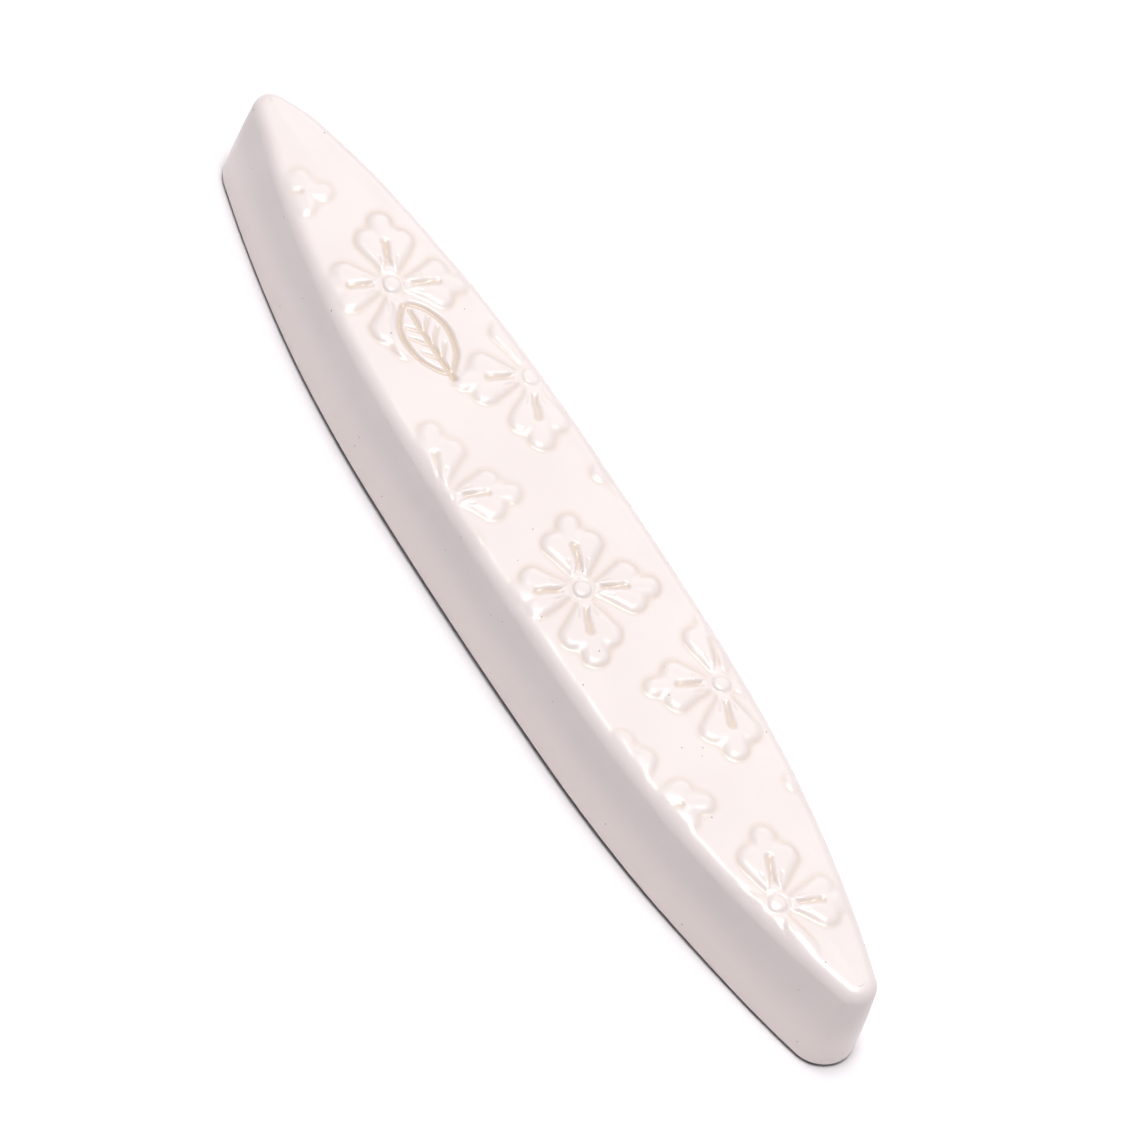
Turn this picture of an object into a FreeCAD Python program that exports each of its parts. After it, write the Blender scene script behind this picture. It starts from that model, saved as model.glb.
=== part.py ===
"""Mezuzah case lying on its back: a hollow glazed ceramic shell of pointed-oval plan, closed by
a thin back plate on foam tape, with the rolled parchment between them.

Units are millimetres. X is the width, Y the length with the top end at +Y, and Z points out of
the decorated front. The origin is at the middle of the footprint, on the surface it lies on.
"""
import FreeCAD, Part
import math
import os
import Sketcher

DIMENSIONS = [
    ("rim_length", 170.0, "length of the case at its rim"),
    ("rim_width", 27.8, "width of the case at its rim"),
    ("rim_side_radius", 918.0, "long shallow arc at the middle of each side, at the rim"),
    ("rim_flank_radius", 247.0, "rounder arc towards each end, at the rim"),
    ("rim_tip_radius", 5.4, "rounding of the pointed ends at the rim"),
    ("draft", 2.2, "angle in degrees by which the walls draw in towards the front"),
    ("case_height", 18.4, "height of the ceramic from rim to front"),
    ("front_rounding", 3.0, "soft edge round the front"),
    ("rim_rounding", 0.6, "soft edge outside the rim"),
    ("rim_land", 2.6, "width of the rim outside the rebate for the back plate"),
    ("wall", 4.0, "thickness of the side walls above the rebate"),
    ("front_thickness", 3.4, "thickness of the ceramic behind the front"),
    ("ceiling_rounding", 1.2, "round corner between cavity wall and front"),
    ("plate_thickness", 1.2, "thickness of the back plate, and depth of its rebate"),
    ("plate_clearance", 0.35, "gap all round between back plate and rebate"),
    ("foam_thickness", 0.8, "thickness of the foam tape"),
    ("foam_width", 12.0, "width of each foam tape pad"),
    ("foam_length", 24.0, "length of each foam tape pad"),
    ("foam_spacing", 100.0, "distance between the middles of the two pads"),
    ("liner_thickness", 0.12, "thickness of the release liner"),
    ("liner_tab", 5.0, "free tab of the liner beyond its pad"),
    ("roll_length", 100.0, "height of the parchment, which is the length of its roll"),
    ("roll_radius", 4.5, "outer radius of the rolled parchment"),
    ("roll_pitch", 0.42, "distance from one turn of the roll to the next"),
    ("parchment_thickness", 0.3, "thickness of the parchment"),
    ("roll_half_turns", 9, "number of half turns in the roll"),
    ("film_slack", 0.05, "gap between the roll and its film wrap"),
    ("film_thickness", 0.15, "thickness of the film wrap"),
    ("film_length", 106.0, "length of the film wrap"),
    ("band_thickness", 0.12, "thickness of the closing band"),
    ("band_width", 12.0, "width of the closing band"),
    ("scroll_clearance", 0.3, "gap between the wrapped scroll and the back plate"),
]

QUARTER_TURN = 90.0
RIGHT_SIDE, LEFT_SIDE = 0, 4
UPPER_TIP, LOWER_TIP = 2, 6
FLANKS = (1, 3, 5, 7)
START, END, CENTRE = 1, 2, 3
X_AXIS, Y_AXIS, ORIGIN_POINT = -1, -2, 1
HEIGHT_TOLERANCE = 0.01


def make_sheet(doc):
    """The driving dimensions, one row each: alias, value, meaning."""
    sheet = doc.addObject("Spreadsheet::Sheet", "Dimensions")
    for row, (alias, value, meaning) in enumerate(DIMENSIONS, start=1):
        sheet.set(f"A{row}", alias)
        sheet.set(f"B{row}", str(value))
        sheet.set(f"C{row}", meaning)
        sheet.setAlias(f"B{row}", alias)
    doc.recompute()
    return sheet


def origin_plane(body, role):
    """One of the body's own origin planes."""
    for feature in body.Origin.OriginFeatures:
        if feature.Role == role:
            return feature
    raise RuntimeError(f"{body.Name} has no {role}")


def outline_angles(half_length, half_width, side, flank, tip):
    """Where the side arc hands over to the flank arc, and the flank arc to the tip arc."""
    to_tip = math.hypot(side - half_width, half_length - tip)
    side_to_flank = side - flank
    flank_to_tip = flank - tip
    cosine = side_to_flank**2 + to_tip**2 - flank_to_tip**2
    spread = math.acos(cosine / (2 * side_to_flank * to_tip))
    side_end = math.atan2(half_length - tip, side - half_width) - spread
    flank_x = half_width - side + side_to_flank * math.cos(side_end)
    flank_y = side_to_flank * math.sin(side_end)
    flank_end = math.atan2(half_length - tip - flank_y, -flank_x)
    return side_end, flank_end, flank_x, flank_y


def outline_arcs(half_length, half_width, side, flank, tip):
    """The eight arcs of the pointed oval, anticlockwise from the right side."""
    side_end, flank_end, flank_x, flank_y = outline_angles(
        half_length, half_width, side, flank, tip
    )
    side_x = side - half_width
    tip_y = half_length - tip
    turn = math.pi
    return [
        (-side_x, 0, side, -side_end, side_end),
        (flank_x, flank_y, flank, side_end, flank_end),
        (0, tip_y, tip, flank_end, turn - flank_end),
        (-flank_x, flank_y, flank, turn - flank_end, turn - side_end),
        (side_x, 0, side, turn - side_end, turn + side_end),
        (-flank_x, -flank_y, flank, turn + side_end, turn + flank_end),
        (0, -tip_y, tip, turn + flank_end, 2 * turn - flank_end),
        (flank_x, -flank_y, flank, 2 * turn - flank_end, 2 * turn - side_end),
    ]


def outline_sizes(sheet, inset):
    """Each size of a pointed oval as a pair: its value now, and the expression that drives it."""
    parts = {
        "half_length": ("rim_length", 2),
        "half_width": ("rim_width", 2),
        "side": ("rim_side_radius", 1),
        "flank": ("rim_flank_radius", 1),
        "tip": ("rim_tip_radius", 1),
    }
    sizes = {}
    for name, (alias, divisor) in parts.items():
        value = sheet.get(alias) / divisor - sum(sheet.get(step) for step in inset)
        steps = "".join(f" - Dimensions.{step}" for step in inset)
        sizes[name] = (value, f"Dimensions.{alias} / {divisor}{steps}")
    return sizes


def drive(sketch, name, expression, *definition):
    """Adds one driving constraint under a name and binds it to the sheet."""
    index = sketch.addConstraint(Sketcher.Constraint(*definition))
    sketch.renameConstraint(index, name)
    sketch.setExpression(f"Constraints.{name}", expression)


def outline_sketch(body, name, sheet, inset=()):
    """A pointed oval on the body's XY plane, drawn in from the rim's outline by the insets."""
    sizes = outline_sizes(sheet, inset)
    half_length, half_width, side, flank, tip = (sizes[key][0] for key in sizes)
    sketch = body.newObject("Sketcher::SketchObject", name)
    sketch.AttachmentSupport = [(origin_plane(body, "XY_Plane"), "")]
    sketch.MapMode = "FlatFace"
    up = FreeCAD.Vector(0, 0, 1)
    for x, y, radius, first, last in outline_arcs(half_length, half_width, side, flank, tip):
        circle = Part.Circle(FreeCAD.Vector(x, y, 0), up, radius)
        sketch.addGeometry(Part.ArcOfCircle(circle, first, last))
    for arc in range(8):
        joint = Sketcher.Constraint("Tangent", arc, END, (arc + 1) % 8, START)
        sketch.addConstraint(joint)
    for arc, axis in ((RIGHT_SIDE, X_AXIS), (LEFT_SIDE, X_AXIS), (UPPER_TIP, Y_AXIS), (LOWER_TIP, Y_AXIS)):
        sketch.addConstraint(Sketcher.Constraint("PointOnObject", arc, CENTRE, axis))
    for arc in FLANKS[1:]:
        sketch.addConstraint(Sketcher.Constraint("Equal", FLANKS[0], arc))
    sketch.addConstraint(Sketcher.Constraint("Equal", RIGHT_SIDE, LEFT_SIDE))
    sketch.addConstraint(Sketcher.Constraint("Equal", UPPER_TIP, LOWER_TIP))
    drive(sketch, "side_radius", sizes["side"][1], "Radius", RIGHT_SIDE, side)
    drive(sketch, "flank_radius", sizes["flank"][1], "Radius", FLANKS[0], flank)
    drive(sketch, "tip_radius", sizes["tip"][1], "Radius", UPPER_TIP, tip)
    side_reach = f"({sizes['side'][1]}) - ({sizes['half_width'][1]})"
    tip_reach = f"({sizes['half_length'][1]}) - ({sizes['tip'][1]})"
    reach_x = side - half_width
    reach_y = half_length - tip
    origin = (X_AXIS, ORIGIN_POINT)
    drive(sketch, "right_reach", side_reach, "DistanceX", RIGHT_SIDE, CENTRE, *origin, reach_x)
    drive(sketch, "left_reach", side_reach, "DistanceX", *origin, LEFT_SIDE, CENTRE, reach_x)
    drive(sketch, "upper_reach", tip_reach, "DistanceY", *origin, UPPER_TIP, CENTRE, reach_y)
    drive(sketch, "lower_reach", tip_reach, "DistanceY", LOWER_TIP, CENTRE, *origin, reach_y)
    return sketch


def edges_at_height(shape, height):
    """Names of the edges that lie wholly at one height."""
    names = []
    for index, edge in enumerate(shape.Edges, start=1):
        box = edge.BoundBox
        level = abs(box.ZMin - height) < HEIGHT_TOLERANCE and abs(box.ZMax - height) < HEIGHT_TOLERANCE
        if level:
            names.append(f"Edge{index}")
    return names


def round_edges(doc, body, name, height, alias):
    """Rounds every edge of the body at one height."""
    doc.recompute()
    base = body.Tip
    fillet = body.newObject("PartDesign::Fillet", name)
    fillet.Base = (base, edges_at_height(base.Shape, height))
    fillet.setExpression("Radius", f"Dimensions.{alias}")
    doc.recompute()


def cut_upwards(doc, body, name, sketch, depth):
    """Cuts a sketch on the underside up into the body, and makes sure that it removes something."""
    doc.recompute()
    before = body.Tip.Shape.Volume
    pocket = body.newObject("PartDesign::Pocket", name)
    pocket.Profile = sketch
    pocket.Reversed = True
    pocket.setExpression("Length", depth)
    doc.recompute()
    if pocket.Shape.Volume >= before:
        raise RuntimeError(f"{name} removes nothing")


def lift_body(body, *aliases):
    """Sets the height of a body as the sum of the layers beneath it."""
    layers = " + ".join(f"Dimensions.{alias}" for alias in aliases)
    body.setExpression("Placement.Base.z", layers)


def make_case_shell(doc, sheet):
    """The ceramic shell: drafted walls, soft edges, a rebate for the back plate and a deep cavity."""
    body = doc.addObject("PartDesign::Body", "CaseShell")
    body.Label = "case_shell"
    rim = outline_sketch(body, "RimOutline", sheet)
    doc.recompute()
    walls = body.newObject("PartDesign::Pad", "Walls")
    walls.Profile = rim
    walls.setExpression("Length", "Dimensions.case_height")
    walls.setExpression("TaperAngle", "-Dimensions.draft")
    round_edges(doc, body, "FrontRounding", sheet.get("case_height"), "front_rounding")
    round_edges(doc, body, "RimRounding", 0.0, "rim_rounding")
    rebate = outline_sketch(body, "RebateOutline", sheet, ("rim_land",))
    cut_upwards(doc, body, "Rebate", rebate, "Dimensions.plate_thickness")
    cavity = outline_sketch(body, "CavityOutline", sheet, ("wall",))
    cavity_depth = "Dimensions.case_height - Dimensions.front_thickness"
    cut_upwards(doc, body, "Cavity", cavity, cavity_depth)
    ceiling = sheet.get("case_height") - sheet.get("front_thickness")
    round_edges(doc, body, "CeilingRounding", ceiling, "ceiling_rounding")
    lift_body(body, "liner_thickness", "foam_thickness")
    return body


def make_back_plate(doc, sheet):
    """The thin plate that closes the back, let into the rim."""
    body = doc.addObject("PartDesign::Body", "BackPlate")
    body.Label = "back_plate"
    outline = outline_sketch(body, "PlateOutline", sheet, ("rim_land", "plate_clearance"))
    doc.recompute()
    plate = body.newObject("PartDesign::Pad", "Plate")
    plate.Profile = outline
    plate.setExpression("Length", "Dimensions.plate_thickness")
    lift_body(body, "liner_thickness", "foam_thickness")
    return body


def make_pads(doc):
    """Two foam tape pads on the back plate, each with the release liner that it stands on."""
    pieces = []
    for end, direction in (("upper", 1), ("lower", -1)):
        pad = doc.addObject("Part::Box", f"{end.capitalize()}Pad")
        pad.Label = f"tape_pad_{end}"
        pad.setExpression("Width", "Dimensions.foam_length")
        pad.setExpression("Height", "Dimensions.foam_thickness")
        middle = f"{direction} * Dimensions.foam_spacing / 2"
        pad.setExpression("Placement.Base.y", f"{middle} - Dimensions.foam_length / 2")
        pad.setExpression("Placement.Base.z", "Dimensions.liner_thickness")
        liner = doc.addObject("Part::Box", f"{end.capitalize()}Liner")
        liner.Label = f"release_liner_{end}"
        liner.setExpression("Width", "Dimensions.foam_length + Dimensions.liner_tab")
        liner.setExpression("Height", "Dimensions.liner_thickness")
        liner_middle = f"{direction} * (Dimensions.foam_spacing + Dimensions.liner_tab) / 2"
        liner_reach = "(Dimensions.foam_length + Dimensions.liner_tab) / 2"
        liner.setExpression("Placement.Base.y", f"{liner_middle} - {liner_reach}")
        for piece in (pad, liner):
            piece.setExpression("Length", "Dimensions.foam_width")
            piece.setExpression("Placement.Base.x", "-Dimensions.foam_width / 2")
            pieces.append(piece)
    return pieces


def spiral_profile(sheet):
    """The rolled strip seen from its end: half turns whose radius shrinks by half a pitch each."""
    pitch = sheet.get("roll_pitch")
    thickness = sheet.get("parchment_thickness")
    along = FreeCAD.Vector(0, 0, 1)
    outer, inner = [], []
    for half_turn in range(int(sheet.get("roll_half_turns"))):
        shift = pitch / 2 * (half_turn % 2)
        centre = FreeCAD.Vector(-shift, 0, 0)
        first = math.pi * half_turn
        for edges, depth in ((outer, 0), (inner, thickness)):
            radius = sheet.get("roll_radius") - pitch / 2 * half_turn - depth
            circle = Part.Circle(centre, along, radius)
            edges.append(Part.ArcOfCircle(circle, first, first + math.pi).toShape())
    start = Part.LineSegment(outer[0].valueAt(outer[0].FirstParameter),
                             inner[0].valueAt(inner[0].FirstParameter)).toShape()
    end = Part.LineSegment(outer[-1].valueAt(outer[-1].LastParameter),
                           inner[-1].valueAt(inner[-1].LastParameter)).toShape()
    return Part.Face(Part.Wire(Part.__sortEdges__(outer + [end] + inner + [start])))


def scroll_height(sheet):
    """Height of the scroll's axis when the wrapped roll lies on the back plate."""
    layers = ("liner_thickness", "foam_thickness", "plate_thickness", "scroll_clearance",
              "roll_radius", "film_slack", "film_thickness", "band_thickness")
    return layers, sum(sheet.get(alias) for alias in layers)


def make_parchment(doc, sheet):
    """The parchment, rolled up."""
    piece = doc.addObject("Part::Feature", "Parchment")
    piece.Label = "parchment_scroll"
    length = sheet.get("roll_length")
    piece.Shape = spiral_profile(sheet).extrude(FreeCAD.Vector(0, 0, length))
    lie_along_length = FreeCAD.Rotation(FreeCAD.Vector(1, 0, 0), QUARTER_TURN)
    start = FreeCAD.Vector(0, length / 2, scroll_height(sheet)[1])
    piece.Placement = FreeCAD.Placement(start, lie_along_length)
    return piece


def make_sleeve(doc, sheet, label, inner_layers, thickness, length):
    """A thin sleeve round the roll: an outer cylinder less an inner one."""
    name = label.title().replace("_", "")
    bore = " + ".join(f"Dimensions.{alias}" for alias in inner_layers)
    cylinders = []
    for kind, radius in (("Outside", f"{bore} + Dimensions.{thickness}"), ("Inside", bore)):
        cylinder = doc.addObject("Part::Cylinder", f"{name}{kind}")
        cylinder.setExpression("Radius", radius)
        cylinder.setExpression("Height", f"Dimensions.{length}")
        cylinders.append(cylinder)
    sleeve = doc.addObject("Part::Cut", name)
    sleeve.Label = label
    sleeve.Base, sleeve.Tool = cylinders
    sleeve.Placement.Rotation = FreeCAD.Rotation(FreeCAD.Vector(1, 0, 0), QUARTER_TURN)
    sleeve.setExpression("Placement.Base.y", f"Dimensions.{length} / 2")
    sleeve.setExpression(
        "Placement.Base.z", " + ".join(f"Dimensions.{alias}" for alias in scroll_height(sheet)[0])
    )
    return sleeve


def check_and_write(doc, pieces):
    """Stops on any failed object or bad shape, then writes one file per piece."""
    doc.recompute()
    for item in doc.Objects:
        if "Invalid" in item.State or "Error" in item.State:
            raise RuntimeError(f"{item.Name} failed: {item.State}")
    for piece in pieces:
        if piece.Shape.isNull() or not piece.Shape.isValid() or len(piece.Shape.Solids) != 1:
            raise RuntimeError(f"{piece.Label} is not one valid solid")
    os.makedirs("parts", exist_ok=True)
    for piece in pieces:
        piece.Shape.exportStep(f"parts/{piece.Label}.step")
        box = piece.Shape.BoundBox
        low = (round(box.XMin, 2), round(box.YMin, 2), round(box.ZMin, 2))
        high = (round(box.XMax, 2), round(box.YMax, 2), round(box.ZMax, 2))
        print(f"{piece.Label}: {low} to {high}, {piece.Shape.Volume:.0f} mm3")


def main():
    doc = FreeCAD.newDocument("MezuzahCase")
    sheet = make_sheet(doc)
    film_bore = ("roll_radius", "film_slack")
    pieces = [make_case_shell(doc, sheet), make_back_plate(doc, sheet)]
    pieces += make_pads(doc)
    pieces.append(make_parchment(doc, sheet))
    pieces.append(make_sleeve(doc, sheet, "film_wrap", film_bore, "film_thickness", "film_length"))
    band_bore = film_bore + ("film_thickness",)
    pieces.append(make_sleeve(doc, sheet, "closing_band", band_bore, "band_thickness", "band_width"))
    check_and_write(doc, pieces)


main()
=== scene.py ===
"""A glazed ceramic mezuzah case lying on its back: the looks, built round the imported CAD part.

Sizes are in millimetres in the row frame, and MM turns them into metres. X is the width, Y the
length with the top end at +Y, and Z points out of the decorated front.
"""
import math

import bmesh
import bpy
import numpy as np
from mathutils import Matrix, Quaternion, Vector


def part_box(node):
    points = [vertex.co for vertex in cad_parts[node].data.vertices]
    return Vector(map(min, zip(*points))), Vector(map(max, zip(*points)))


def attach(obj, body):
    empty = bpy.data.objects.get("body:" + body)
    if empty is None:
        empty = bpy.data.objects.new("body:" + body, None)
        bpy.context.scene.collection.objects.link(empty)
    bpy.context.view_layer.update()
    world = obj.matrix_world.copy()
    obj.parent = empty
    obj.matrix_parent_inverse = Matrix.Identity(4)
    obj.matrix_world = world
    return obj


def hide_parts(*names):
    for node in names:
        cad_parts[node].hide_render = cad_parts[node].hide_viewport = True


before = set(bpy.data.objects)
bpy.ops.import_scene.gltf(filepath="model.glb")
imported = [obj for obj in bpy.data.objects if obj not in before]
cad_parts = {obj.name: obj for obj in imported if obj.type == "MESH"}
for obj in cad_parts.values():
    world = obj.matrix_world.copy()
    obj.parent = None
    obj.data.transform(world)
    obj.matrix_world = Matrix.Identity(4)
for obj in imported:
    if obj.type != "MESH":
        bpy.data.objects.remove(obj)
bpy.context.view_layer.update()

MM = 0.001
SEED = 18
NOISE_LATTICE = 64
WELD_MM = 0.002
SLIVER_SHARE = 0.1


def box_mm(node):
    """Lowest and highest corner of a CAD node, in millimetres."""
    low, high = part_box(node)
    return np.array(low) / MM, np.array(high) / MM


SHELL_LOW, SHELL_HIGH = box_mm("case_shell")
PLATE_LOW, PLATE_HIGH = box_mm("back_plate")
RIM_Z = SHELL_LOW[2]
HEIGHT = SHELL_HIGH[2] - SHELL_LOW[2]
HALF_LENGTH = SHELL_HIGH[1]
HALF_WIDTH = SHELL_HIGH[0]
FRONT_ROUNDING = 2.5
RIM_ROUNDING = 0.5

# Farther than any groove or edge reaches.
FAR = 99.0

# ---------------------------------------------------------------- numbers and small helpers


def smooth(low, high, value):
    """0 below low, 1 above high, with a soft ramp between."""
    t = np.clip((value - low) / (high - low), 0.0, 1.0)
    return t * t * (3.0 - 2.0 * t)


def value_noise(points, cell, seed):
    """Smooth noise from -1 to 1 that changes over about one cell, for rows of x, y, z."""
    rng = np.random.default_rng(SEED + seed)
    lattice = rng.uniform(-1.0, 1.0, (NOISE_LATTICE,) * 3)
    scaled = points / cell + 0.5 * NOISE_LATTICE
    base = np.floor(scaled).astype(int)
    t = scaled - base
    t = t * t * (3.0 - 2.0 * t)
    total = np.zeros(len(points))
    for corner in range(8):
        step = np.array([corner & 1, corner >> 1 & 1, corner >> 2 & 1])
        share = np.prod(np.where(step == 1, t, 1.0 - t), axis=1)
        index = (base + step) % NOISE_LATTICE
        total += share * lattice[index[:, 0], index[:, 1], index[:, 2]]
    return total


def add_noise(values, points, layers):
    """The values with layers of noise added; each layer is a height, a cell and a seed."""
    for height, cell, seed in layers:
        values = values + height * value_noise(points, cell, seed)
    return values


def mesh_object(name, vertices_mm, faces, smooth_shading=True):
    """A linked mesh object from vertices in millimetres."""
    mesh = bpy.data.meshes.new(name)
    mesh.from_pydata([tuple(v) for v in np.asarray(vertices_mm) * MM], [], faces)
    mesh.validate()
    for polygon in mesh.polygons:
        polygon.use_smooth = smooth_shading
    piece = bpy.data.objects.new(name, mesh)
    bpy.context.scene.collection.objects.link(piece)
    return piece


def grid_faces(index, wrap=False, close_rows=False):
    """Quads between neighbours of an index grid; wrap joins the last column to the first."""
    if wrap:
        index = np.concatenate([index, index[:, :1]], axis=1)
    if close_rows:
        index = np.concatenate([index, index[:1]], axis=0)
    corners = (index[:-1, :-1], index[1:, :-1], index[1:, 1:], index[:-1, 1:])
    return np.stack([corner.ravel() for corner in corners], axis=1).tolist()


def grid_object(name, points, wrap=False, close_rows=False):
    """A mesh object from a grid of points in millimetres."""
    index = np.arange(points.shape[0] * points.shape[1]).reshape(points.shape[:2])
    return mesh_object(name, points.reshape(-1, 3), grid_faces(index, wrap, close_rows))


def weld(piece):
    """Joins vertices that coincide and drops the faces that this closes up."""
    work = bmesh.new()
    work.from_mesh(piece.data)
    bmesh.ops.remove_doubles(work, verts=work.verts, dist=WELD_MM * MM)
    bmesh.ops.dissolve_degenerate(work, edges=work.edges, dist=WELD_MM * MM * SLIVER_SHARE)
    bmesh.ops.recalc_face_normals(work, faces=work.faces)
    work.to_mesh(piece.data)
    work.free()


def set_attribute(piece, name, values):
    """A number per vertex that the material reads."""
    attribute = piece.data.attributes.new(name, "FLOAT", "POINT")
    attribute.data.foreach_set("value", np.asarray(values, dtype=np.float32))


def place(piece, body, node):
    """The piece moves with a CAD body and stands for a CAD node, whose own part is hidden."""
    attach(piece, body)
    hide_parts(node)
    return piece


# ---------------------------------------------------------------- the pointed-oval outline

RIM_OUTLINE = {
    "half_length": HALF_LENGTH,
    "half_width": HALF_WIDTH,
    "side": 918.0,
    "flank": 247.0,
    "tip": 5.6,
}
FRONT_OUTLINE = {
    "half_length": HALF_LENGTH - 0.9,
    "half_width": HALF_WIDTH - 0.65,
    "side": 776.0,
    "flank": 209.0,
    "tip": 3.7,
}
HALF_SIDE_STEPS = 165
FLANK_STEPS = 190
TIP_STEPS = 26


def outline(half_length, half_width, side, flank, tip):
    """Right half of a pointed oval, from the lower tip to the upper one: points, then outward normals.

    Each side is one shallow arc, a rounder arc towards each end, and a small arc at the tip.
    """
    to_tip = math.hypot(side - half_width, half_length - tip)
    side_to_flank = side - flank
    flank_to_tip = flank - tip
    cosine = side_to_flank**2 + to_tip**2 - flank_to_tip**2
    spread = math.acos(cosine / (2 * side_to_flank * to_tip))
    side_end = math.atan2(half_length - tip, side - half_width) - spread
    flank_centre = np.array([
        half_width - side + side_to_flank * math.cos(side_end),
        side_to_flank * math.sin(side_end),
    ])
    tip_centre = np.array([0.0, half_length - tip])
    reach = tip_centre - flank_centre
    flank_end = math.atan2(reach[1], reach[0])
    angles = [np.linspace(0.0, side_end, HALF_SIDE_STEPS + 1)]
    centres = [np.tile([half_width - side, 0.0], (HALF_SIDE_STEPS + 1, 1))]
    radii = [np.full(HALF_SIDE_STEPS + 1, side)]
    for first, last, steps, centre, radius in (
        (side_end, flank_end, FLANK_STEPS, flank_centre, flank),
        (flank_end, math.pi / 2, TIP_STEPS, tip_centre, tip),
    ):
        angles.append(np.linspace(first, last, steps + 1)[1:])
        centres.append(np.tile(centre, (steps, 1)))
        radii.append(np.full(steps, radius))
    angle = np.concatenate(angles)
    normal = np.stack([np.cos(angle), np.sin(angle)], axis=1)
    upper = np.concatenate(centres) + normal * np.concatenate(radii)[:, None]
    lower = upper[:0:-1] * [1.0, -1.0]
    lower_normal = normal[:0:-1] * [1.0, -1.0]
    return np.concatenate([lower, upper]), np.concatenate([lower_normal, normal])


# ---------------------------------------------------------------- relief: flowers and a stamped leaf

# Flowers stand on a lattice: the centre of one, the two steps to its neighbours, and how many steps.
PATTERN_ORIGIN = np.array([-2.2, -9.3])
PATTERN_DOWN = np.array([10.4, -22.1])
PATTERN_ACROSS = np.array([-22.6, -11.7])
STEPS_DOWN = range(-8, 9)
STEPS_ACROSS = range(-4, 5)
FLOWER_TURN = math.radians(68.0)

# Each layer of wander is a height, a cell and a seed of noise.
X_WANDER = ((0.22, 5.0, 51), (0.10, 1.7, 52))
Y_WANDER = ((0.22, 5.0, 53), (0.10, 1.7, 54))

# Flowers are shallower near the front's edge and near its top, and worn away at both tips.
EDGE_LOSS = 0.15
EDGE_RAMP = (-3.0, 1.0)
TOP_LOSS = 0.1
TOP_RAMP = (56.0, 70.0)
UPPER_WEAR = (72.0, 79.0)
LOWER_WEAR = (70.0, 77.0)

# A petal lies along u from the flower's centre and is drawn at PETAL_UNIT, then scaled to its length.
# Each capsule is a start, an end, and its radius at both.
TALL_PETAL = 12.7
SIDE_PETAL = 11.8
PETAL_UNIT = 12.4
FLOWER_REACH = TALL_PETAL + 2.0
SHOULDER_LOBE = ((2.7, 0.4), (7.3, 2.35), 1.1, 2.15)
TIP_LOBE = ((6.5, 0.0), (10.55, 0.0), 1.7, 1.85)
LOBE_BLEND = 1.2
SLIT = ((3.2, 0.0), (6.9, 0.0), 0.20, 0.58)
SLIT_WALL = 0.45
SLIT_DEPTH = 0.30
NICK = ((3.2, 1.05), (4.5, 1.45), 0.05, 0.14)
NICK_WALL = 0.28
NICK_SHARE = 0.6

# A petal rises from a concave foot, PETAL_FOOT outside its outline, to a domed top.
PETAL_PUFF = 0.50
PETAL_FOOT = 0.35
PETAL_SOFTNESS = 1.9
PETAL_START_POWER = 1.7
PETAL_DOME_POWER = 3.0
OUTLINE_DEPTH = 0.04
OUTLINE_OFFSET = 0.1
OUTLINE_WIDTH = 0.46

# The middle of a flower: a low star that joins the petals, a ring cut in it, and a bead.
STAR_BODY = 1.9
STAR_ARM = ((0.0, 0.0), (3.7, 0.0), 1.5, 0.2)
STAR_BLEND = 0.6
STAR_WALL = 0.5
STAR_SHARE = 0.4
HUB_RADIUS = 2.6
HUB_WALL = 0.3
RING_RADIUS = 1.62
RING_WIDTH = 0.27
RING_DEPTH = 0.20
BEAD_RADIUS = 1.4
BEAD_RISE = 0.30

# How strongly glaze pools in each kind of groove.
OUTLINE_POOL = 0.46
CUT_POOL = 0.8
RING_POOL = 0.2
STAMP_POOL = 1.15

# The leaf lies along y: two arcs, a midrib, and side veins, each from its place along the midrib
# to its reach sideways. The stamp has pressed the flowers round it nearly flat.
STAMP_CENTRE = np.array([-0.3, 36.6])
STAMP_DEPTH = 0.55
LEAF_HALF_LENGTH = 6.6
LEAF_HALF_WIDTH = 3.6
LEAF_LINE = 0.3
LEAF_WALL = 0.42
MIDRIB = ((-7.4, 0.0), (5.2, 0.0), 0.42, 0.22)
VEINS = ((-3.6, 2.0), (-1.2, 2.5), (1.2, 2.0))
VEIN_START = 0.3
VEIN_SLANT = 0.9
VEIN_RADII = (0.26, 0.12)
VEIN_WALL = 0.36
VEIN_SHARE = 0.85
PRESSED_MARGIN = 1.2
PRESSED_WALL = 0.9
PRESSED_FLAT = 0.9
PRESSED_CLEAN = 0.95


def capsule(u, v, start, end, start_radius, end_radius):
    """Distance to a tapered capsule, negative inside."""
    along = np.array(end) - np.array(start)
    share = ((u - start[0]) * along[0] + (v - start[1]) * along[1]) / (along @ along)
    share = np.clip(share, 0.0, 1.0)
    gap = np.hypot(u - start[0] - share * along[0], v - start[1] - share * along[1])
    return gap - (start_radius + share * (end_radius - start_radius))


def soft_min(a, b, blend):
    """The smaller of two distances, rounded where they meet."""
    share = np.clip(0.5 + 0.5 * (b - a) / blend, 0.0, 1.0)
    return b + (a - b) * share - blend * share * (1.0 - share)


def petal_distance(u, v):
    """Distance to a petal: two shoulder lobes and a smaller lobe at the tip."""
    shoulder = capsule(u, np.abs(v), *SHOULDER_LOBE)
    return soft_min(shoulder, capsule(u, np.abs(v), *TIP_LOBE), LOBE_BLEND)


def groove(distance, half_width):
    """Depth from 0 to 1 of a rounded groove whose wall lies at distance zero."""
    return smooth(half_width, -half_width, distance)


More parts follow.
